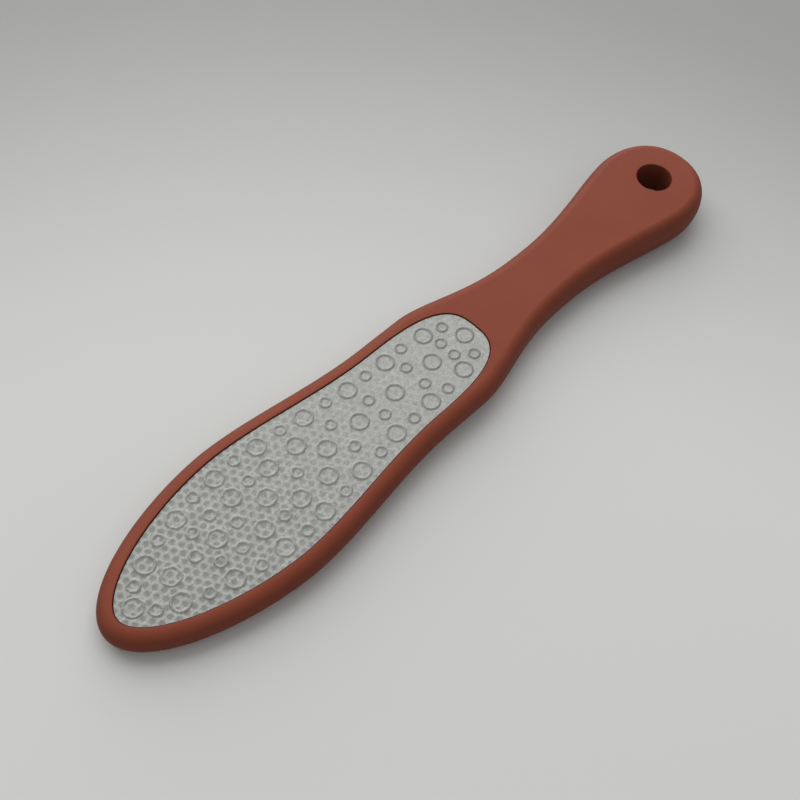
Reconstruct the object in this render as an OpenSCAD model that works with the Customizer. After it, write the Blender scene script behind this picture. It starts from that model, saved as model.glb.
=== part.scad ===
// Foot file: a flat moulded handle in two shells that carries a bonded metal rasp plate.
// The long axis runs along X, with the hang hole near the -X end and the rasp near the +X end.
// The file lies as it does on a table, on its belly and on the end of its paddle, rasp up.

/* [Length] */
// Overall length from the butt to the tip
total_len = 260; // [245:0.5:290]
// Distance from the butt to the widest place of the grip
butt_at = 22.6; // [18:0.2:30]
// Distance from the butt to the waist
waist_at = 75; // [60:0.5:90]
// Distance from the butt to the shoulder, where the paddle begins
shoulder_at = 128.4; // [115:0.2:138]
// Distance from the butt to the place where the paddle starts to flare
flare_at = 144; // [140:0.5:165]
// Length of the rounded tip, from the widest place of the paddle
tip_len = 55.7; // [44:0.1:70]

/* [Width] */
// Width of the grip at its widest place
butt_w = 38.6; // [32:0.2:46]
// Width of the waist
waist_w = 23.8; // [20:0.2:30]
// Width of the shoulder
shoulder_w = 40; // [34:0.2:46]
// Width of the paddle at its widest place
paddle_w = 50.8; // [44:0.2:60]

/* [Thickness] */
// Thickness at the butt
butt_t = 11; // [9:0.2:13]
// Thickness at the belly, the deepest place of the grip
belly_t = 13.6; // [12:0.2:17]
// Distance from the butt to the belly
belly_at = 24.5; // [20:0.5:36]
// Distance from the butt to the place where the taper of the underside ends
taper_end_at = 167; // [145:0.5:185]
// Thickness of the paddle
paddle_t = 8.9; // [8:0.1:11]

/* [Hang hole] */
// Diameter of the hang hole
hole_d = 12.5; // [8:0.1:15]
// Distance from the butt to the centre of the hang hole
hole_at = 18; // [15:0.5:21]
// Width of the chamfer at both mouths of the hang hole
hole_lip = 0.6; // [0.3:0.1:1]

/* [Shells] */
// Thickness of the side walls at the parting line
side_wall = 3.4; // [2.8:0.1:4.5]
// Thickness of the top and bottom walls
face_wall = 2.4; // [1.8:0.1:2.8]
// Thickness of the cross ribs between the hollows
rib_t = 1.6; // [1.2:0.1:2.4]
// Diameter of the locating pins
pin_d = 4; // [3:0.1:5]
// Height of the locating pins above the parting line
pin_h = 1.8; // [1.2:0.1:2]
// Least solid width around a locating pin
pin_wall = 2.5; // [1.5:0.1:4]
// Radial clearance around a locating pin, and its clearance at the end
pin_gap = 0.15; // [0.1:0.01:0.3]

/* [Rasp plate] */
// Distance from the butt to the start of the recess
recess_at = 112.4; // [108:0.2:122]
// Length of the rounded end of the recess
recess_end_len = 34; // [20:0.5:45]
// Width of the rim between the outline and the recess
rim_w = 4.9; // [4.4:0.1:8]
// Depth of the plate's face below the rim
plate_drop = 0.4; // [0.2:0.05:0.8]
// Thickness of the plate
plate_t = 0.8; // [0.5:0.05:1.1]
// Gap between the plate and the wall of the recess
plate_gap = 0.2; // [0.1:0.05:0.4]
// Thickness of the adhesive pad under the plate
pad_t = 0.25; // [0.15:0.05:0.4]
// Distance that the adhesive pad stays back from the plate's edge
pad_inset = 1; // [0.5:0.1:3]

/* [Rasp rings] */
// Outer diameter of a large ring
big_ring_d = 6.2; // [5:0.1:7]
// Outer diameter of a small ring
small_ring_d = 4; // [3:0.1:4.6]
// Width of a ring's ridge at its foot
ridge_w = 0.9; // [0.6:0.05:1.2]
// Height of a ring's ridge above the plate
ridge_h = 0.35; // [0.2:0.05:0.6]
// Distance of a large ring's centre from the plate's edge
big_ring_edge = 5.1; // [4.4:0.1:6.4]
// Distance of a small ring's centre from the plate's edge
small_ring_edge = 4.6; // [3.4:0.1:6]

/* [Hidden] */

// Overrun of every cut, and how far a raised form is sunk into what carries it
overrun = 0.4;
// Length of one hollow between two cross ribs, before it is fitted to the handle
hollow_len = 24;

// Distance from the butt to the widest place of the paddle
paddle_at = total_len - tip_len;

// Powers of the rounded ends: 2 is an ellipse, more is squarer
butt_power = 2.145;
tip_power = 1.707;
recess_power = 2.96;
// Powers that move a sweep's middle away from its start (below 1) or its end (above 1)
waist_power = 0.8;
shoulder_power = 1.48;
paddle_power = 1.06;
// Steps of the butt, the side, the tip and the edge's quarter round
butt_steps = 14;
side_steps = 44;
tip_steps = 18;
recess_steps = 14;
round_steps = 6;

// Places along the outer row of rings, large and small by turns, as shares of the row's length
outer_row_shares = [0, 0.058, 0.104, 0.17, 0.218, 0.277, 0.329, 0.387, 0.446, 0.504,
    0.567, 0.621, 0.679, 0.736, 0.796, 0.849, 0.908, 0.953, 1];
// Inner rings: place along the plate and off its axis, as shares of its length and half width
big_inner_shares = [[0.141, 0], [0.257, 0], [0.364, 0], [0.459, 0], [0.501, 0.37], [0.577, 0.35],
    [0.625, 0], [0.676, 0.347], [0.756, 0], [0.872, 0]];
small_inner_shares = [[0.091, 0.214], [0.193, 0.27], [0.312, 0.225], [0.413, 0.3], [0.542, 0],
    [0.626, 0.38], [0.704, 0], [0.733, 0.365], [0.783, 0.336], [0.811, 0]];
// Flat crest of a ridge, as a share of its width
crest_share = 0.35;

// Smooth rise from 0 to 1, level at both ends
function ease(t) = t * t * (3 - 2 * t);
function sweep(from, to, t) = from + (to - from) * ease(min(1, max(0, t)));
function mirrored(p) = [p.x, -p.y];

// Half of the width at a distance s from the butt, between the two rounded ends
function half_w(s) =
    s < waist_at ? sweep(butt_w, waist_w, pow((s - butt_at) / (waist_at - butt_at), waist_power)) / 2
    : s < shoulder_at
    ? sweep(waist_w, shoulder_w, pow((s - waist_at) / (shoulder_at - waist_at), shoulder_power)) / 2
    : s < flare_at ? shoulder_w / 2
    : sweep(shoulder_w, paddle_w, pow((s - flare_at) / (paddle_at - flare_at), paddle_power)) / 2;

// Thickness at a distance s from the butt
function thick(s) = s < belly_at ? sweep(butt_t, belly_t, s / belly_at)
    : sweep(belly_t, paddle_t, (s - belly_at) / (taper_end_at - belly_at));

// One side of the outline at the parting line, from the butt to the tip
edge = concat(
    [for (k = [0 : butt_steps - 1]) let (a = 90 * k / butt_steps)
        [butt_at * (1 - pow(cos(a), 2 / butt_power)), butt_w / 2 * pow(sin(a), 2 / butt_power)]],
    [for (k = [0 : side_steps - 1]) let (s = butt_at + (paddle_at - butt_at) * k / side_steps)
        [s, half_w(s)]],
    [for (k = [0 : tip_steps]) let (a = 90 * k / tip_steps)
        [paddle_at + tip_len * pow(sin(a), 2 / tip_power), paddle_w / 2 * cos(a)]]);
last = len(edge) - 1;

// Outward direction at each point of that side
outward = [for (i = [0 : last]) let (
    before = i == 0 ? mirrored(edge[1]) : edge[i - 1],
    after = i == last ? mirrored(edge[last - 1]) : edge[i + 1],
    along = after - before) [-along.y, along.x] / norm(along)];

// The side moved inwards by d
function inset_edge(d) = [for (i = [0 : last]) edge[i] - outward[i] * d];

// A closed outline from its upper side, which starts and ends on the axis
function closed(side) = concat(side, [for (i = [len(side) - 2 : -1 : 1]) mirrored(side[i])]);

// All points of the moulded body at one angle of its quarter-round edge: 90 is the top face,
// 0 the parting line and -90 the underside
function body_level(angle) = let (
    side = [for (i = [0 : last]) let (
        r = thick(edge[i].x) / 2,
        p = edge[i] - outward[i] * r * (1 - cos(angle))) [p.x, p.y, r * (sin(angle) - 1)]])
    concat(side, [for (i = [last - 1 : -1 : 1]) [side[i].x, -side[i].y, side[i].z]]);

// The lie of the file on a table: it tips about its belly until the end of the paddle touches
underside = body_level(-90);
foot_at = total_len - paddle_t / 2;
lie_angle = max([for (p = underside) if (p.x < paddle_at) atan((-p.z - paddle_t) / (foot_at - p.x))]);
table_drop = foot_at * sin(lie_angle) + paddle_t * cos(lie_angle);
butt_end_x = butt_t / 2 * (cos(lie_angle) - sin(lie_angle) - 1);
tip_end_x = foot_at * cos(lie_angle) + paddle_t / 2 * (1 - sin(lie_angle));

// Puts a piece drawn flat, with the rim of the top face at z = 0, onto the table
module on_table() {
    translate([-(butt_end_x + tip_end_x) / 2, 0, table_drop]) rotate([0, lie_angle, 0]) children();
}

// A skin between levels of the body, from the lowest angle to the highest, closed by level strips
module body_between(angles) {
    ring = 2 * last;
    top = ring * (len(angles) - 1);
    walls = [for (j = [0 : len(angles) - 2], k = [0 : ring - 1]) let (
        a = ring * j, b = a + ring, next = (k + 1) % ring)
        each [[a + k, a + next, b + next], [a + k, b + next, b + k]]];
    function strip(i) = i == 0 ? [0, 1, ring - 1]
        : i == last - 1 ? [last - 1, last, last + 1]
        : [i, i + 1, ring - i - 1, ring - i];
    lids = [for (i = [0 : last - 1]) each [
        [for (k = strip(i)) top + k],
        [for (k = [len(strip(i)) - 1 : -1 : 0]) strip(i)[k]]]];
    polyhedron(points = [for (angle = angles) each body_level(angle)], faces = concat(walls, lids));
}

// The outline of the recess moved inwards by d, one side of it
function recess_side(d) = let (
    side = inset_edge(rim_w + d),
    round_end = recess_at + recess_end_len,
    half = lookup(round_end, [for (i = [butt_steps : last]) side[i]]))
    concat(
        [for (k = [0 : recess_steps - 1]) let (a = 90 * k / recess_steps)
            [round_end - (recess_end_len - d) * pow(cos(a), 2 / recess_power),
            half * pow(sin(a), 2 / recess_power)]],
        [for (i = [butt_steps : last]) if (side[i].x > round_end) side[i]]);

recess_depth = plate_drop + plate_t + pad_t;

module recess() {
    translate([0, 0, -recess_depth]) linear_extrude(recess_depth + overrun) polygon(closed(recess_side(0)));
}

module hang_hole() {
    depth = thick(hole_at);
    translate([hole_at, 0, 0]) {
        translate([0, 0, -depth - overrun]) cylinder(h = depth + 2 * overrun, d = hole_d, $fn = 96);
        translate([0, 0, -hole_lip])
            cylinder(h = hole_lip + overrun, d1 = hole_d, d2 = hole_d + 2 * (hole_lip + overrun), $fn = 96);
        translate([0, 0, -depth - overrun])
            cylinder(h = hole_lip + overrun, d1 = hole_d + 2 * (hole_lip + overrun), d2 = hole_d, $fn = 96);
    }
}

// Places of the locating pins along the axis: behind the hang hole, before the recess, at the
// widest place of the paddle and near its tip
pin_places = [
    hole_at + hole_d / 2 + pin_wall + pin_d / 2,
    recess_at - pin_wall - pin_d / 2,
    paddle_at,
    total_len - 2 * rim_w];

module pins(d, h) {
    for (s = pin_places) translate([s, 0, -thick(s) / 2 - overrun])
        cylinder(h = h + overrun, d = d, $fn = 48);
}

// A row of hollows between two places, side_wall inside the outline, with ribs between them,
// on the upper or the lower side of the parting line
module hollows(from, to, below) {
    count = max(1, round((to - from) / hollow_len));
    pitch = (to - from + rib_t) / count;
    side = inset_edge(side_wall);
    for (n = [0 : count - 1]) {
        start = from + n * pitch;
        end = start + pitch - rib_t;
        deepest = max(thick(start), thick(end));
        low = below ? face_wall - min(thick(start), thick(end)) : -deepest;
        high = below ? 0 : -face_wall;
        path = concat(
            [[start, lookup(start, side)]],
            [for (p = side) if (p.x > start && p.x < end) p],
            [[end, lookup(end, side)]]);
        translate([0, 0, low]) linear_extrude(high - low)
            polygon(concat(path, [for (i = [len(path) - 1 : -1 : 0]) mirrored(path[i])]));
    }
}

grip_start = pin_places[0] + pin_d / 2 + pin_wall;
grip_end = pin_places[1] - pin_d / 2 - pin_wall;
paddle_start = pin_places[1] + pin_d / 2 + pin_wall;
paddle_end = pin_places[3] - pin_d / 2 - pin_wall;

module front_shell() {
    color([0.53, 0.29, 0.23]) on_table() difference() {
        body_between([for (k = [0 : round_steps]) 90 * k / round_steps]);
        recess();
        hang_hole();
        hollows(grip_start, grip_end, false);
        pins(pin_d + 2 * pin_gap, pin_h + pin_gap);
    }
}

module back_shell() {
    color([0.5, 0.27, 0.21]) on_table() {
        difference() {
            body_between([for (k = [0 : round_steps]) 90 * k / round_steps - 90]);
            hang_hole();
            hollows(grip_start, grip_end, true);
            paddle_hollows();
        }
        pins(pin_d, pin_h);
    }
}

// The hollows under the plate, which leave a boss around the pin that stands among them
module paddle_hollows() {
    difference() {
        hollows(paddle_start, paddle_end, true);
        translate([paddle_at, 0, -paddle_t]) cylinder(h = paddle_t, d = pin_d + 2 * pin_wall, $fn = 48);
    }
}

module adhesive_pad() {
    color([0.86, 0.84, 0.78]) on_table() translate([0, 0, -recess_depth])
        linear_extrude(pad_t) polygon(closed(recess_side(plate_gap + pad_inset)));
}

module file_plate() {
    color([0.7, 0.7, 0.68]) on_table() {
        translate([0, 0, -plate_drop - plate_t])
            linear_extrude(plate_t) polygon(closed(recess_side(plate_gap)));
        translate([0, 0, -plate_drop]) rings();
    }
}

// One raised ring, its foot sunk into the plate
module ring(d) {
    rotate_extrude($fn = 36) translate([(d - ridge_w) / 2, 0]) polygon([
        [-ridge_w / 2, -plate_t / 2], [ridge_w / 2, -plate_t / 2], [ridge_w / 2, 0],
        [ridge_w * crest_share / 2, ridge_h], [-ridge_w * crest_share / 2, ridge_h], [-ridge_w / 2, 0]]);
}

// A ring on each side of the axis, or one on it
module ring_pair(p, d) {
    translate(p) ring(d);
    if (p.y > 0) translate(mirrored(p)) ring(d);
}

// Running length at each point of a path
function run(path) = [for (i = 0, a = 0; i < len(path);
    a = a + norm(path[min(i + 1, len(path) - 1)] - path[i]), i = i + 1) a];

// The point at a share of a path's length
function point_at(path, share) = let (a = run(path), at = share * a[len(a) - 1]) [
    lookup(at, [for (i = [0 : len(path) - 1]) [a[i], path[i].x]]),
    lookup(at, [for (i = [0 : len(path) - 1]) [a[i], path[i].y]])];

module rings() {
    big_row = recess_side(plate_gap + big_ring_edge);
    small_row = recess_side(plate_gap + small_ring_edge);
    plate_side = recess_side(plate_gap);
    plate_start = plate_side[0].x;
    plate_len = plate_side[len(plate_side) - 1].x - plate_start;
    for (n = [0 : len(outer_row_shares) - 1]) {
        if (n % 2 == 0) ring_pair(point_at(big_row, outer_row_shares[n]), big_ring_d);
        else ring_pair(point_at(small_row, outer_row_shares[n]), small_ring_d);
    }
    for (share = big_inner_shares) let (x = plate_start + share.x * plate_len)
        ring_pair([x, share.y * lookup(x, plate_side)], big_ring_d);
    for (share = small_inner_shares) let (x = plate_start + share.x * plate_len)
        ring_pair([x, share.y * lookup(x, plate_side)], small_ring_d);
}

front_shell();
back_shell();
adhesive_pad();
file_plate();
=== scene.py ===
# Looks of the foot file: smooth moulded shells, the rasp plate with its rings and net, and the studio.
import math

import bmesh
import bpy
import numpy as np
from mathutils import Matrix, Vector
from mathutils.geometry import delaunay_2d_cdt


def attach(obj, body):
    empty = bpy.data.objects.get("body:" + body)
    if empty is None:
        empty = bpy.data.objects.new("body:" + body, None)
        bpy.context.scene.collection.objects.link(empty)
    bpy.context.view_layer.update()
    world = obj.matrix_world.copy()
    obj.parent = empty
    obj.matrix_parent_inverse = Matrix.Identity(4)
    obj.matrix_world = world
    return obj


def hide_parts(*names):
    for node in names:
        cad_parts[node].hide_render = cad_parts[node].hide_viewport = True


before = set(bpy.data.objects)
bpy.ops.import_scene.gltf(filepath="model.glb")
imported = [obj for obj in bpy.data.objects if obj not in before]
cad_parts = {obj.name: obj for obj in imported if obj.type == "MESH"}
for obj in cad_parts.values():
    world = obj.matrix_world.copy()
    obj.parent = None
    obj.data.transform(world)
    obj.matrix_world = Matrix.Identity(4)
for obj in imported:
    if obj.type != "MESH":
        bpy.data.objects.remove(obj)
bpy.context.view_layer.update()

# Sizes in millimetres, as the part has them. A place named AT is a distance from the butt.
TOTAL_LEN, TIP_LEN = 260.0, 55.7
PADDLE_AT = TOTAL_LEN - TIP_LEN
BUTT_AT, WAIST_AT, SHOULDER_AT, FLARE_AT = 22.6, 75.0, 128.4, 144.0
BUTT_W, WAIST_W, SHOULDER_W, PADDLE_W = 38.6, 23.8, 40.0, 50.8
BELLY_AT, TAPER_END_AT = 24.5, 167.0
BUTT_T, BELLY_T, PADDLE_T = 11.0, 13.6, 8.9
HOLE_D, HOLE_AT = 12.5, 18.0
RECESS_AT, RECESS_END_LEN, RIM_W = 112.4, 34.0, 4.9
PLATE_DROP, PLATE_T, PLATE_GAP, PAD_T = 0.4, 0.8, 0.2, 0.25
# Powers of the rounded ends, and of the sweeps from one width to the next
BUTT_POWER, TIP_POWER, RECESS_POWER = 2.145, 1.707, 2.96
WAIST_POWER, SHOULDER_POWER, PADDLE_POWER = 0.8, 1.48, 1.06

# Width of the skins' rounded edge from above, the same along the whole handle
EDGE_ROUND = PADDLE_T / 2
# Finer edges of the skins: two rounded lips, the parting line's groove and the plate's bevel
HOLE_LIP, RIM_LIP, PARTING_GROOVE, PLATE_BEVEL = 0.35, 0.2, 0.12, 0.1

# Rings of the rasp plate, as the part has them
BIG_RING_D, SMALL_RING_D, RIDGE_W = 6.2, 4.0, 0.9
# Distances from the plate's edge to the centres in the outer row
BIG_RING_EDGE, SMALL_RING_EDGE = 5.1, 4.6
# Places along the outer row, large and small by turns, as shares of its length
OUTER_ROW_SHARES = (0, 0.058, 0.104, 0.17, 0.218, 0.277, 0.329, 0.387, 0.446, 0.504,
                    0.567, 0.621, 0.679, 0.736, 0.796, 0.849, 0.908, 0.953, 1)
# Inner rings: places along the plate and off its axis, as shares of its length and half width
BIG_INNER_SHARES = ((0.141, 0), (0.257, 0), (0.364, 0), (0.459, 0), (0.501, 0.37), (0.577, 0.35),
                    (0.625, 0), (0.676, 0.347), (0.756, 0), (0.872, 0))
SMALL_INNER_SHARES = ((0.091, 0.214), (0.193, 0.27), (0.312, 0.225), (0.413, 0.3), (0.542, 0),
                      (0.626, 0.38), (0.704, 0), (0.733, 0.365), (0.783, 0.336), (0.811, 0))

# A ridge's height in the scene, its crest's distance inside the ring's diameter, and the crest's flat
RIDGE_H, CREST_INSET, CREST_FLAT = 0.31, 0.3, 0.1
# Extra width of a ridge's slopes, inside and outside its crest
RIDGE_FLARE = 0.25, 0.1
# Share of its height that a crest loses over the deepest cells
CREST_DIP_SHARE = 0.4

# Pitch and width of the honeycomb's cells, their depth, and half the width of their slopes
CELL_PITCH, CELL_W, NET_H, NET_SOFT = 2.695, 1.7, 0.1, 0.4
# Turn of the honeycomb in degrees, and its shift
NET_TURN, NET_SHIFT = 0.9, (2.107, 0.4215)
# Share of their depth that the cells begin with, and where along the file they grow deeper
NET_START_SHARE, NET_FADE = 0.2, (132.0, 235.0)

# Tones as they look on a screen, 0 to 255
PLASTIC_TONES = (132, 66, 48), (137, 70, 51)
FOAM_TONES = (205, 200, 186), (224, 219, 206)
# The floor's tones: a painted pool of light, palest at its centre and greyer away from it.
FLOOR_PAINTED_LIGHT_TONES = (211, 212, 210), (156, 156, 155)
# The cells are darker than the bars: painted shade in the cells.
CELL_PAINTED_SHADE, BAR_TONE = (130, 131, 127), (158, 159, 155)
# Painted shade on the ring crests, darker near the grip than toward the tip: their tones, and where along
# the file they change
NECK_CREST_PAINTED_SHADE, TIP_CREST_PAINTED_SHADE, CREST_FADE = (132, 133, 129), (145, 146, 142), (125.0, 185.0)
# Painted shade on the plastic's upright sides: the share of its tone that it keeps where a normal's
# vertical part is at most SIDE_TURN
PAINTED_SIDE_SHADE, SIDE_TURN = 0.7, 0.6
# Least and greatest share of the steel's tone in its grit
GRIT_SHARES = 0.8, 1.2

# Noises as features to the metre, octaves of detail and, in one, roughness
PLASTIC_MOTTLE, PLASTIC_GLOSS, PLASTIC_GRAIN = (60, 4), (900, 2), (6000, 2)
STEEL_GRIT, STEEL_GLOSS, STEEL_GRAIN = (1800, 3), (500, 4), (3500, 4, 0.65)
FOAM_MOTTLE, FOAM_GRAIN, FLOOR_GLOSS = (2000, 3), (4000, 2), (40, 3)
# Roughness of the other noises, and the span that most of their values lie in
NOISE_ROUGHNESS, NOISE_SPAN = 0.55, (0.3, 0.7)
# Bumps as strength and depth in metres
PLASTIC_BUMP, STEEL_BUMP, FOAM_BUMP = (0.12, 0.00005), (0.28, 0.00006), (0.3, 0.00005)
# Values of the shaders
SATIN_ROUGHNESS, FLOOR_ROUGHNESS, FOAM_ROUGHNESS = (0.5, 0.62), (0.7, 0.8), 0.9
MATTE_SPECULAR, STEEL_METALLIC = 0.12, 0.5

# The photograph's view about the plane of the rim, in millimetres and degrees
CAMERA_PLACE = (299.1, 122.4, 297.1)
CAMERA_HEADING, CAMERA_DOWN, CAMERA_ROLL = 51.345, 57.305, -6.711
# Lens and sensor in millimetres, and the nearest distance seen in metres
LENS, SENSOR, CLIP_START = 52.25, 36.0, 0.01

# The floor in metres: half its width, where its painted pool of light is palest, and over which distances
# that painted light fades
FLOOR_REACH, PAINTED_LIGHT_CENTRE, PAINTED_LIGHT_FADE = 4.0, (0.165, 0.135, 0.0), (0.2, 0.45)
FLOOR_CELLS = 8
# The soft lamp in metres and watts, and the strength of the sky
LAMP_PLACE, LAMP_AIM = (-0.6, -1.15, 1.05), (0.02, 0, 0)
LAMP_SIZE, LAMP_ENERGY, SKY_STRENGTH = 2.5, 35.5, 0.46

# Steps of the stretches of the skins
BUTT_STEPS, SIDE_STEPS, TIP_STEPS, RECESS_STEPS, ROUND_STEPS = 40, 190, 56, 40, 18
LIP_STEPS, HOLE_STEPS = 6, 96
# Pitch of the plate's grid in millimetres
PLATE_GRID = 0.262
# Edges that turn by more degrees stay sharp, and points nearer than so many metres become one
SHARP_ANGLE, WELD = 35.0, 1e-6
# What the function that fills a lid takes: triangles inside the outlines, and its tolerance
FILL_INSIDE, FILL_TOLERANCE = 1, 1e-9
# Sockets of the Mix node that take and give colours
MIX_INPUTS, MIX_RESULT = (6, 7), 2

MM = 0.001


def share(value, start, end):
    """How far a value is on its way from start to end, from 0 to 1."""
    return np.clip((value - start) / (end - start), 0, 1)


def smooth_step(t):
    """Smooth rise from 0 to 1, level at both ends."""
    t = np.clip(t, 0, 1)
    return t * t * (3 - 2 * t)


def sweep(start, end, t):
    """Smooth change from start to end, level at both."""
    return start + (end - start) * smooth_step(t)


def quarter(steps):
    """Angles of a quarter turn."""
    return np.linspace(0, math.pi / 2, steps + 1)


def half_width(s):
    """Half of the width at a distance s from the butt, between the two rounded ends."""
    grip = sweep(BUTT_W, WAIST_W, share(s, BUTT_AT, WAIST_AT) ** WAIST_POWER)
    neck = sweep(WAIST_W, SHOULDER_W, share(s, WAIST_AT, SHOULDER_AT) ** SHOULDER_POWER)
    flare = sweep(SHOULDER_W, PADDLE_W, share(s, FLARE_AT, PADDLE_AT) ** PADDLE_POWER)
    return np.where(s < WAIST_AT, grip, np.where(s < SHOULDER_AT, neck, flare)) / 2


def thickness(s):
    """Thickness of the handle at a distance s from the butt."""
    belly = sweep(BUTT_T, BELLY_T, share(s, 0, BELLY_AT))
    taper = sweep(BELLY_T, PADDLE_T, share(s, BELLY_AT, TAPER_END_AT))
    return np.where(s < BELLY_AT, belly, taper)


def top_height(s):
    return np.zeros_like(s)


def parting_height(s):
    return -thickness(s) / 2


def under_height(s):
    return -thickness(s)


def left_of(along):
    """Unit directions to the left of others, seen from above."""
    along = along / np.linalg.norm(along, axis=1)[:, None]
    return np.stack([-along[:, 1], along[:, 0]], 1)


def at_height(xy, z):
    """Points over places on the plan, at one height or at a height for each."""
    return np.column_stack([xy, np.broadcast_to(z, len(xy))])


def closed(side):
    """A closed ring of points from its upper side, which starts and ends on the axis."""
    lower = side[-2:0:-1].copy()
    lower[:, 1] *= -1
    return np.vstack([side, lower])


def outline_side():
    """One side of the outline at the parting line, from the butt to the tip."""
    a = quarter(BUTT_STEPS)[:-1]
    butt = np.stack([BUTT_AT * (1 - np.cos(a) ** (2 / BUTT_POWER)),
                     BUTT_W / 2 * np.sin(a) ** (2 / BUTT_POWER)], 1)
    s = np.linspace(BUTT_AT, PADDLE_AT, SIDE_STEPS + 1)[:-1]
    side = np.stack([s, half_width(s)], 1)
    a = quarter(TIP_STEPS)
    tip = np.stack([PADDLE_AT + TIP_LEN * np.sin(a) ** (2 / TIP_POWER), PADDLE_W / 2 * np.cos(a)], 1)
    tip[-1] = TOTAL_LEN, 0
    return np.vstack([butt, side, tip])


def outward_of(side):
    """Outward direction at each point of a side that starts and ends on the axis."""
    mirror = np.array([1, -1])
    before = np.vstack([side[1:2] * mirror, side[:-1]])
    after = np.vstack([side[1:], side[-2:-1] * mirror])
    return left_of(after - before)


EDGE = outline_side()
OUTWARD = outward_of(EDGE)


def body_ring(angle, inset=0.0):
    """Points of the moulded body at one angle of its edge: 90 top, 0 parting line, -90 underside."""
    a = math.radians(angle)
    xy = EDGE - OUTWARD * (EDGE_ROUND * (1 - math.cos(a)) + inset)
    return closed(at_height(xy, thickness(EDGE[:, 0]) / 2 * (math.sin(a) - 1)))


def recess_side(d):
    """One side of the recess's outline moved inwards by d."""
    side = (EDGE - OUTWARD * (RIM_W + d))[BUTT_STEPS:]
    round_end = RECESS_AT + RECESS_END_LEN
    half = np.interp(round_end, side[:, 0], side[:, 1])
    a = quarter(RECESS_STEPS)[:-1]
    end = np.stack([round_end - (RECESS_END_LEN - d) * np.cos(a) ** (2 / RECESS_POWER),
                    half * np.sin(a) ** (2 / RECESS_POWER)], 1)
    return np.vstack([end, side[side[:, 0] > round_end]])


# The lie of the file on a table, as the part has it
FOOT_AT = TOTAL_LEN - PADDLE_T / 2
DEPTH = thickness(EDGE[:, 0])
UNDER_AT = EDGE[:, 0] - OUTWARD[:, 0] * DEPTH / 2
LIE = np.arctan(((DEPTH - PADDLE_T) / (FOOT_AT - UNDER_AT))[UNDER_AT < PADDLE_AT].max())
TABLE_DROP = FOOT_AT * math.sin(LIE) + PADDLE_T * math.cos(LIE)
BUTT_END = BUTT_T / 2 * (math.cos(LIE) - math.sin(LIE) - 1)
TIP_END = FOOT_AT * math.cos(LIE) + PADDLE_T / 2 * (1 - math.sin(LIE))
LIE_TURN = Matrix.Rotation(LIE, 3, "Y")
LIE_SHIFT = Vector((-(BUTT_END + TIP_END) / 2, 0, TABLE_DROP))
UPWARD = LIE_TURN @ Vector((0, 0, 1))


def to_row(points):
    """Millimetres about the rim's plane to metres in the part's frame."""
    turned = np.asarray(points, float) @ np.array(LIE_TURN).T
    return (turned + np.array(LIE_SHIFT)) * MM


def add_object(name, data):
    """A new object in the scene."""
    made = bpy.data.objects.new(name, data)
    bpy.context.scene.collection.objects.link(made)
    return made


class Skin:
    """A closed mesh that grows from rings of points, with walls between rings and lids that fill them."""

    def __init__(self):
        self.points = []
        self.faces = []

    def ring(self, points):
        start = len(self.points)
        self.points.extend(map(tuple, points))
        return list(range(start, start + len(points)))

    def walls(self, rings):
        for low, high in zip(rings[:-1], rings[1:]):
            for k in range(len(low)):
                n = (k + 1) % len(low)
                self.faces.append((low[k], low[n], high[n], high[k]))

    def counter_clockwise(self, ring):
        x, y = np.array([self.points[i][:2] for i in ring]).T
        turning = (x * np.roll(y, -1) - np.roll(x, -1) * y).sum()
        return ring if turning > 0 else ring[::-1]

    def lid(self, *rings):
        """Triangles inside the first ring and outside the others, as seen from above."""
        rings = [self.counter_clockwise(ring) for ring in rings]
        flat = [i for ring in rings for i in ring]
        starts = np.cumsum([0] + [len(ring) for ring in rings])
        outlines = [list(range(a, b)) for a, b in zip(starts[:-1], starts[1:])]
        spots = [Vector(self.points[i][:2]) for i in flat]
        _, _, faces, origins, _, owners = delaunay_2d_cdt(spots, [], outlines, FILL_INSIDE, FILL_TOLERANCE)
        for face, owner in zip(faces, owners):
            if list(owner) == [0]:
                self.faces.append(tuple(flat[origins[k][0]] for k in face))

    def build(self, name):
        """The mesh as an object in the part's frame, smooth but for its sharp edges."""
        mesh = bpy.data.meshes.new(name)
        mesh.from_pydata([tuple(p) for p in to_row(self.points)], [], self.faces)
        shape = bmesh.new()
        shape.from_mesh(mesh)
        bmesh.ops.remove_doubles(shape, verts=shape.verts, dist=WELD)
        bmesh.ops.recalc_face_normals(shape, faces=shape.faces)
        for edge in shape.edges:
            edge.smooth = len(edge.link_faces) == 2 and edge.calc_face_angle() < math.radians(SHARP_ANGLE)
        for face in shape.faces:
            face.smooth = True
        shape.to_mesh(mesh)
        shape.free()
        piece = add_object(name, mesh)
        piece.modifiers.new("weighted_normals", "WEIGHTED_NORMAL").keep_sharp = True
        return piece


def edge_wall(skin, up):
    """The rounded edge from the parting line's groove to the top (up is 1) or the underside (-1)."""
    start = math.degrees(2 * PARTING_GROOVE / PADDLE_T)
    rings = [skin.ring(body_ring(0, PARTING_GROOVE))]
    rings += [skin.ring(body_ring(up * a)) for a in np.linspace(start, 90, ROUND_STEPS + 1)]
    skin.walls(rings)
    return rings[0], rings[-1]


def hole_ring(radius, height):
    """A ring about the hang hole, at heights that a function of the places along the file gives."""
    a = np.linspace(0, 2 * math.pi, HOLE_STEPS + 1)[:-1]
    xy = np.stack([HOLE_AT + radius * np.cos(a), radius * np.sin(a)], 1)
    return at_height(xy, height(xy[:, 0]))


def hole_wall(skin, face, up):
    """The hang hole's wall, from its lip at the top (up is 1) or the underside to the parting line."""
    rings = []
    for a in quarter(LIP_STEPS):
        drop = up * HOLE_LIP * (1 - math.cos(a))
        radius = HOLE_D / 2 + HOLE_LIP * (1 - math.sin(a))
        rings.append(skin.ring(hole_ring(radius, lambda s: face(s) - drop)))
    rings.append(skin.ring(hole_ring(HOLE_D / 2, parting_height)))
    skin.walls(rings)
    return rings[0], rings[-1]


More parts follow.
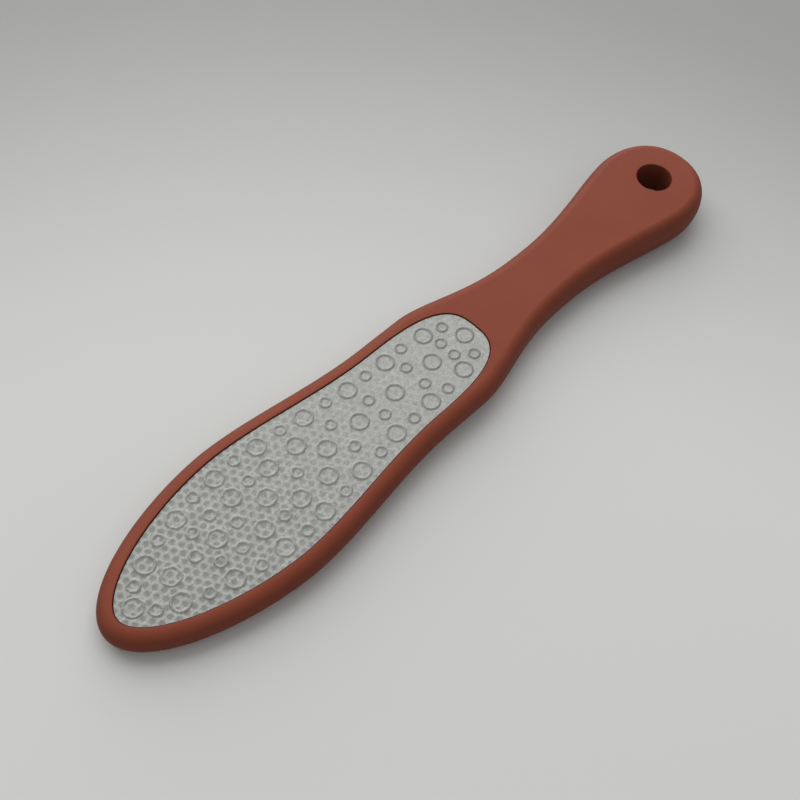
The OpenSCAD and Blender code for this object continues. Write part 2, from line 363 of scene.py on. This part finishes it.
def recess_wall(skin):
    """The recess's wall from its rounded lip at the rim to its floor."""
    rings = []
    for a in quarter(LIP_STEPS):
        side = recess_side(-RIM_LIP * (1 - math.sin(a)))
        rings.append(skin.ring(closed(at_height(side, -RIM_LIP * (1 - math.cos(a))))))
    rings.append(skin.ring(closed(at_height(recess_side(0), -(PLATE_DROP + PLATE_T + PAD_T)))))
    skin.walls(rings)
    return rings[0], rings[-1]


def front_shell():
    """Upper shell: rounded edge, flat rim, recess and hang hole."""
    skin = Skin()
    seat, brow = edge_wall(skin, 1)
    lip, floor = recess_wall(skin)
    mouth, foot = hole_wall(skin, top_height, 1)
    skin.lid(brow, lip, mouth)
    skin.lid(floor)
    skin.lid(seat, foot)
    return skin.build("front_shell_skin")


def back_shell():
    """Lower shell: rounded edge down to the belly, and the hang hole."""
    skin = Skin()
    seat, belly = edge_wall(skin, -1)
    mouth, foot = hole_wall(skin, under_height, -1)
    skin.lid(belly, mouth)
    skin.lid(seat, foot)
    return skin.build("back_shell_skin")


def along_path(path, shares):
    """Points at shares of a path's length."""
    run = np.concatenate([[0], np.cumsum(np.linalg.norm(np.diff(path, axis=0), axis=1))])
    at = np.asarray(shares) * run[-1]
    return np.stack([np.interp(at, run, path[:, 0]), np.interp(at, run, path[:, 1])], 1)


def ring_places():
    """Centres and diameters of the large and of the small rings, on both sides of the axis."""
    plate = recess_side(PLATE_GAP)
    start, length = plate[0, 0], plate[-1, 0] - plate[0, 0]
    places = []
    for d, edge, row, inner in (
            (BIG_RING_D, BIG_RING_EDGE, OUTER_ROW_SHARES[0::2], BIG_INNER_SHARES),
            (SMALL_RING_D, SMALL_RING_EDGE, OUTER_ROW_SHARES[1::2], SMALL_INNER_SHARES)):
        spots = [tuple(p) for p in along_path(recess_side(PLATE_GAP + edge), row)]
        for along, across in inner:
            x = start + along * length
            spots.append((x, across * np.interp(x, plate[:, 0], plate[:, 1])))
        for x, y in spots:
            places.append((x, y, d))
            if y > 0:
                places.append((x, -y, d))
    return places


def net_bars(x, y):
    """The honeycomb net's pattern: 1 on its bars, 0 on the floor of each cell."""
    turn = math.radians(NET_TURN)
    u = x * math.cos(turn) + y * math.sin(turn) - NET_SHIFT[0]
    v = -x * math.sin(turn) + y * math.cos(turn) - NET_SHIFT[1]
    # Two sets of rows, one between the other
    row_gap = CELL_PITCH * math.sqrt(3)
    nearest = np.full(x.shape, np.inf)
    for shift in (0, 0.5):
        du = u - (np.round(u / CELL_PITCH - shift) + shift) * CELL_PITCH
        dv = v - (np.round(v / row_gap - shift) + shift) * row_gap
        reach = np.maximum(np.abs(du), np.abs(du) / 2 + np.abs(dv) * math.sqrt(3) / 2)
        nearest = np.minimum(nearest, reach)
    return smooth_step((nearest - (CELL_W / 2 - NET_SOFT)) / (2 * NET_SOFT))


def plate_height(x, y):
    """Height of the plate's face over the tops of its bars: shallow cells, deeper to the tip, and rings."""
    bars = net_bars(x, y)
    depth_share = sweep(NET_START_SHARE, 1, share(x, *NET_FADE))
    height = -NET_H * depth_share * (1 - bars)
    crest = RIDGE_H * (1 - CREST_DIP_SHARE * depth_share * (1 - bars))
    for cx, cy, d in ring_places():
        aside = np.hypot(x - cx, y - cy) - (d / 2 - CREST_INSET)
        slope = (RIDGE_W - CREST_FLAT) / 2 + np.where(aside < 0, *RIDGE_FLARE)
        rise = 1 - smooth_step((np.abs(aside) - CREST_FLAT / 2) / slope)
        height = np.maximum(height, height + (crest - height) * rise)
    return height


def plate_rows(edge):
    """Rows of places across the plate, no further apart than its grid, between its two ends."""
    side = [edge[0]]
    for a, b in zip(edge[:-1], edge[1:]):
        n = max(1, math.ceil(abs(b[0] - a[0]) / PLATE_GRID))
        side += [a + (b - a) * k / n for k in range(1, n + 1)]
    side = np.array(side)[1:-1]
    across = np.linspace(-1, 1, int(2 * side[:, 1].max() / PLATE_GRID) + 1)
    return np.repeat(side[:, :1], len(across), 1), side[:, 1:] * across


def file_plate():
    """The rasp plate as one closed piece, with its rings and net raised from its face."""
    edge = recess_side(PLATE_GAP + PLATE_BEVEL)
    x, y = plate_rows(edge)
    face = np.stack([x, y, plate_height(x, y) - PLATE_DROP], -1)
    skin = Skin()
    grid = np.array(skin.ring(face.reshape(-1, 3))).reshape(x.shape)
    start, end = skin.ring(at_height(edge[[0, -1]], -PLATE_DROP))
    quads = np.stack([grid[:-1, :-1], grid[1:, :-1], grid[1:, 1:], grid[:-1, 1:]], -1)
    skin.faces.extend(map(tuple, quads.reshape(-1, 4)))
    for j in range(x.shape[1] - 1):
        skin.faces.append((start, grid[0, j], grid[0, j + 1]))
        skin.faces.append((end, grid[-1, j + 1], grid[-1, j]))
    brim = [start, *grid[:, -1], end, *grid[::-1, 0]]
    around = np.array([skin.points[i][:2] for i in brim])
    outer = around + left_of(np.roll(around, -1, 0) - np.roll(around, 1, 0)) * PLATE_BEVEL
    high = skin.ring(at_height(outer, -PLATE_DROP - NET_H - PLATE_BEVEL))
    low = skin.ring(at_height(outer, -PLATE_DROP - PLATE_T))
    skin.walls([low, high, brim])
    skin.lid(low)
    return skin.build("file_plate_face")


def linear(tone):
    """A tone as it looks on a screen, as the shader wants it, by the sRGB curve."""
    channels = [c / 255 for c in tone]
    return tuple(c / 12.92 if c <= 0.04045 else ((c + 0.055) / 1.055) ** 2.4 for c in channels) + (1.0,)


def new_material(name):
    """A material, its node tree and its shader."""
    made = bpy.data.materials.new(name)
    made.use_nodes = True
    return made, made.node_tree, made.node_tree.nodes["Principled BSDF"]


def own_place(tree):
    """The piece's own coordinates, in metres."""
    return tree.nodes.new("ShaderNodeTexCoord").outputs["Object"]


def noise(tree, scale, detail, roughness=NOISE_ROUGHNESS):
    """Noise over the piece's own coordinates; scale is in features to the metre."""
    made = tree.nodes.new("ShaderNodeTexNoise")
    made.inputs["Scale"].default_value = scale
    made.inputs["Detail"].default_value = detail
    made.inputs["Roughness"].default_value = roughness
    tree.links.new(own_place(tree), made.inputs["Vector"])
    return made.outputs["Fac"]


def remap(tree, value, low, high, span=NOISE_SPAN, course="LINEAR"):
    """A value's share of a span, held within it, as a number from low to high."""
    made = tree.nodes.new("ShaderNodeMapRange")
    made.interpolation_type = course
    made.inputs["From Min"].default_value, made.inputs["From Max"].default_value = span
    made.inputs["To Min"].default_value, made.inputs["To Max"].default_value = low, high
    tree.links.new(value, made.inputs["Value"])
    return made.outputs["Result"]


def tint(tree, value, tones, places=NOISE_SPAN):
    """A colour by a value: each tone at its place, and a blend between them."""
    made = tree.nodes.new("ShaderNodeValToRGB")
    stops = made.color_ramp.elements
    stops[0].position, stops[1].position = places[0], places[-1]
    for place in places[1:-1]:
        stops.new(place)
    for stop, tone in zip(stops, tones):
        stop.color = linear(tone)
    tree.links.new(value, made.inputs["Fac"])
    return made.outputs["Color"]


def bump(tree, value, strength, depth):
    made = tree.nodes.new("ShaderNodeBump")
    made.inputs["Strength"].default_value = strength
    made.inputs["Distance"].default_value = depth
    tree.links.new(value, made.inputs["Height"])
    return made.outputs["Normal"]


def measured(tree, operation, vector, other):
    """One number from a vector: its DOT_PRODUCT with another one, or its DISTANCE from it."""
    made = tree.nodes.new("ShaderNodeVectorMath")
    made.operation = operation
    made.inputs[1].default_value = other
    tree.links.new(vector, made.inputs[0])
    return made.outputs["Value"]


def scaled(tree, colour, amount):
    made = tree.nodes.new("ShaderNodeVectorMath")
    made.operation = "SCALE"
    tree.links.new(colour, made.inputs[0])
    tree.links.new(amount, made.inputs["Scale"])
    return made.outputs["Vector"]


def painted_side_shade(tree):
    """Painted shade: 1 on level faces, falling to the side share on the upright sides, which are darker in
    the photograph than the lamp makes them.
    """
    normal = tree.nodes.new("ShaderNodeTexCoord").outputs["Normal"]
    level = tree.nodes.new("ShaderNodeMath")
    level.operation = "ABSOLUTE"
    tree.links.new(measured(tree, "DOT_PRODUCT", normal, UPWARD), level.inputs[0])
    return remap(tree, level.outputs["Value"], PAINTED_SIDE_SHADE, 1, (SIDE_TURN, 1))


def brown_plastic():
    """Matte moulded plastic with a fine spark-eroded grain, and painted shade on its upright sides."""
    made, tree, shader = new_material("brown_plastic")
    colour = tint(tree, noise(tree, *PLASTIC_MOTTLE), PLASTIC_TONES)
    gloss = remap(tree, noise(tree, *PLASTIC_GLOSS), *SATIN_ROUGHNESS)
    # The base colour is darkened on the upright sides: painted shade.
    tree.links.new(scaled(tree, colour, painted_side_shade(tree)), shader.inputs["Base Color"])
    tree.links.new(gloss, shader.inputs["Roughness"])
    tree.links.new(bump(tree, noise(tree, *PLASTIC_GRAIN), *PLASTIC_BUMP), shader.inputs["Normal"])
    shader.inputs["Specular IOR Level"].default_value = MATTE_SPECULAR
    return made


def steel_tones_with_painted_shade(tree):
    """The steel's tone by its height over the cells, with painted shade: darker in the cells and on the
    ring crests. The crests are paler toward the tip.
    """
    place = own_place(tree)
    bar_top = Vector(to_row([(0, 0, -PLATE_DROP)])[0]).dot(UPWARD)
    rise = measured(tree, "DOT_PRODUCT", place, UPWARD)
    level = remap(tree, rise, 0, 1, (bar_top - NET_H * MM, bar_top + RIDGE_H * MM))
    along = measured(tree, "DOT_PRODUCT", place, (1, 0, 0))
    fade = remap(tree, along, 0, 1, to_row([(s, 0, 0) for s in CREST_FADE])[:, 0])
    blend = tree.nodes.new("ShaderNodeMix")
    blend.data_type = "RGBA"
    tree.links.new(fade, blend.inputs["Factor"])
    for socket, crest in zip(MIX_INPUTS, (NECK_CREST_PAINTED_SHADE, TIP_CREST_PAINTED_SHADE)):
        tones = tint(tree, level, (CELL_PAINTED_SHADE, BAR_TONE, crest), (0, NET_H / (NET_H + RIDGE_H), 1))
        tree.links.new(tones, blend.inputs[socket])
    return blend.outputs[MIX_RESULT]


def rasp_steel():
    """Satin steel with a fine grit, and painted shade in its cells and on its ring crests."""
    made, tree, shader = new_material("rasp_steel")
    grit = remap(tree, noise(tree, *STEEL_GRIT), *GRIT_SHARES)
    gloss = remap(tree, noise(tree, *STEEL_GLOSS), *SATIN_ROUGHNESS)
    tree.links.new(scaled(tree, steel_tones_with_painted_shade(tree), grit), shader.inputs["Base Color"])
    tree.links.new(gloss, shader.inputs["Roughness"])
    tree.links.new(bump(tree, noise(tree, *STEEL_GRAIN), *STEEL_BUMP), shader.inputs["Normal"])
    shader.inputs["Metallic"].default_value = STEEL_METALLIC
    return made


def adhesive_foam():
    """Pale adhesive layer, hidden under the plate."""
    made, tree, shader = new_material("adhesive_foam")
    tree.links.new(tint(tree, noise(tree, *FOAM_MOTTLE), FOAM_TONES), shader.inputs["Base Color"])
    tree.links.new(bump(tree, noise(tree, *FOAM_GRAIN), *FOAM_BUMP), shader.inputs["Normal"])
    shader.inputs["Roughness"].default_value = FOAM_ROUGHNESS
    return made


def floor_painted_light():
    """Matte pale paint with a painted pool of light: greyer away from one place, as the photograph's
    background is.
    """
    made, tree, shader = new_material("floor_painted_light")
    # Painted light: the floor's tone is palest near one place and greyer away from it.
    reach = measured(tree, "DISTANCE", own_place(tree), PAINTED_LIGHT_CENTRE)
    fade = remap(tree, reach, 0, 1, PAINTED_LIGHT_FADE, "SMOOTHSTEP")
    gloss = remap(tree, noise(tree, *FLOOR_GLOSS), *FLOOR_ROUGHNESS)
    tree.links.new(tint(tree, fade, FLOOR_PAINTED_LIGHT_TONES, (0, 1)), shader.inputs["Base Color"])
    tree.links.new(gloss, shader.inputs["Roughness"])
    shader.inputs["Specular IOR Level"].default_value = MATTE_SPECULAR
    return made


def coat(piece, paint):
    piece.data.materials.clear()
    piece.data.materials.append(paint)


def dress(piece, paint, node):
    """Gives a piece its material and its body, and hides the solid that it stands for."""
    coat(piece, paint)
    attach(piece, "root")
    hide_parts(node)


def photo_camera():
    """The camera at the photograph's viewing angle, over the plane of the rim."""
    heading, down, roll = map(math.radians, (CAMERA_HEADING, CAMERA_DOWN, CAMERA_ROLL))

    def turned(x, y, z):
        """A direction by how far it goes to the camera's right, ahead of it and up."""
        return Vector((-x * math.cos(heading) - y * math.sin(heading),
                       x * math.sin(heading) - y * math.cos(heading), z))

    ahead = turned(0, math.cos(down), -math.sin(down))
    level = turned(1, 0, 0)
    under = turned(0, -math.sin(down), -math.cos(down))
    right = level * math.cos(roll) + under * math.sin(roll)
    low = under * math.cos(roll) - level * math.sin(roll)
    axes = LIE_TURN @ Matrix((right, -low, -ahead)).transposed()
    data = bpy.data.cameras.new("photo_view")
    data.lens, data.sensor_width, data.clip_start = LENS, SENSOR, CLIP_START
    camera = add_object("photo_view", data)
    camera.matrix_world = Matrix.Translation(Vector(to_row([CAMERA_PLACE])[0])) @ axes.to_4x4()
    bpy.context.scene.camera = camera


def plain_floor():
    """A pale floor under the file, with a painted pool of light."""
    shape = bmesh.new()
    bmesh.ops.create_grid(shape, x_segments=FLOOR_CELLS, y_segments=FLOOR_CELLS, size=FLOOR_REACH)
    mesh = bpy.data.meshes.new("floor")
    shape.to_mesh(mesh)
    shape.free()
    floor = add_object("floor", mesh)
    coat(floor, floor_painted_light())


def soft_light():
    """One large soft lamp beyond the file, and a dim even sky."""
    lamp = bpy.data.lights.new("softbox", "AREA")
    lamp.shape = "RECTANGLE"
    lamp.size, lamp.size_y = LAMP_SIZE, LAMP_SIZE
    lamp.energy = LAMP_ENERGY
    holder = add_object("softbox", lamp)
    holder.location = LAMP_PLACE
    holder.rotation_euler = (Vector(LAMP_AIM) - holder.location).to_track_quat("-Z", "Y").to_euler()
    world = bpy.data.worlds.new("sky")
    world.use_nodes = True
    sky = world.node_tree.nodes["Background"]
    sky.inputs["Color"].default_value = (1, 1, 1, 1)
    sky.inputs["Strength"].default_value = SKY_STRENGTH
    bpy.context.scene.world = world


photo_camera()
plastic = brown_plastic()
dress(front_shell(), plastic, "front_shell")
dress(back_shell(), plastic, "back_shell")
dress(file_plate(), rasp_steel(), "file_plate")
coat(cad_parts["adhesive_pad"], adhesive_foam())
plain_floor()
soft_light()
bpy.context.scene.view_settings.view_transform = "Standard"
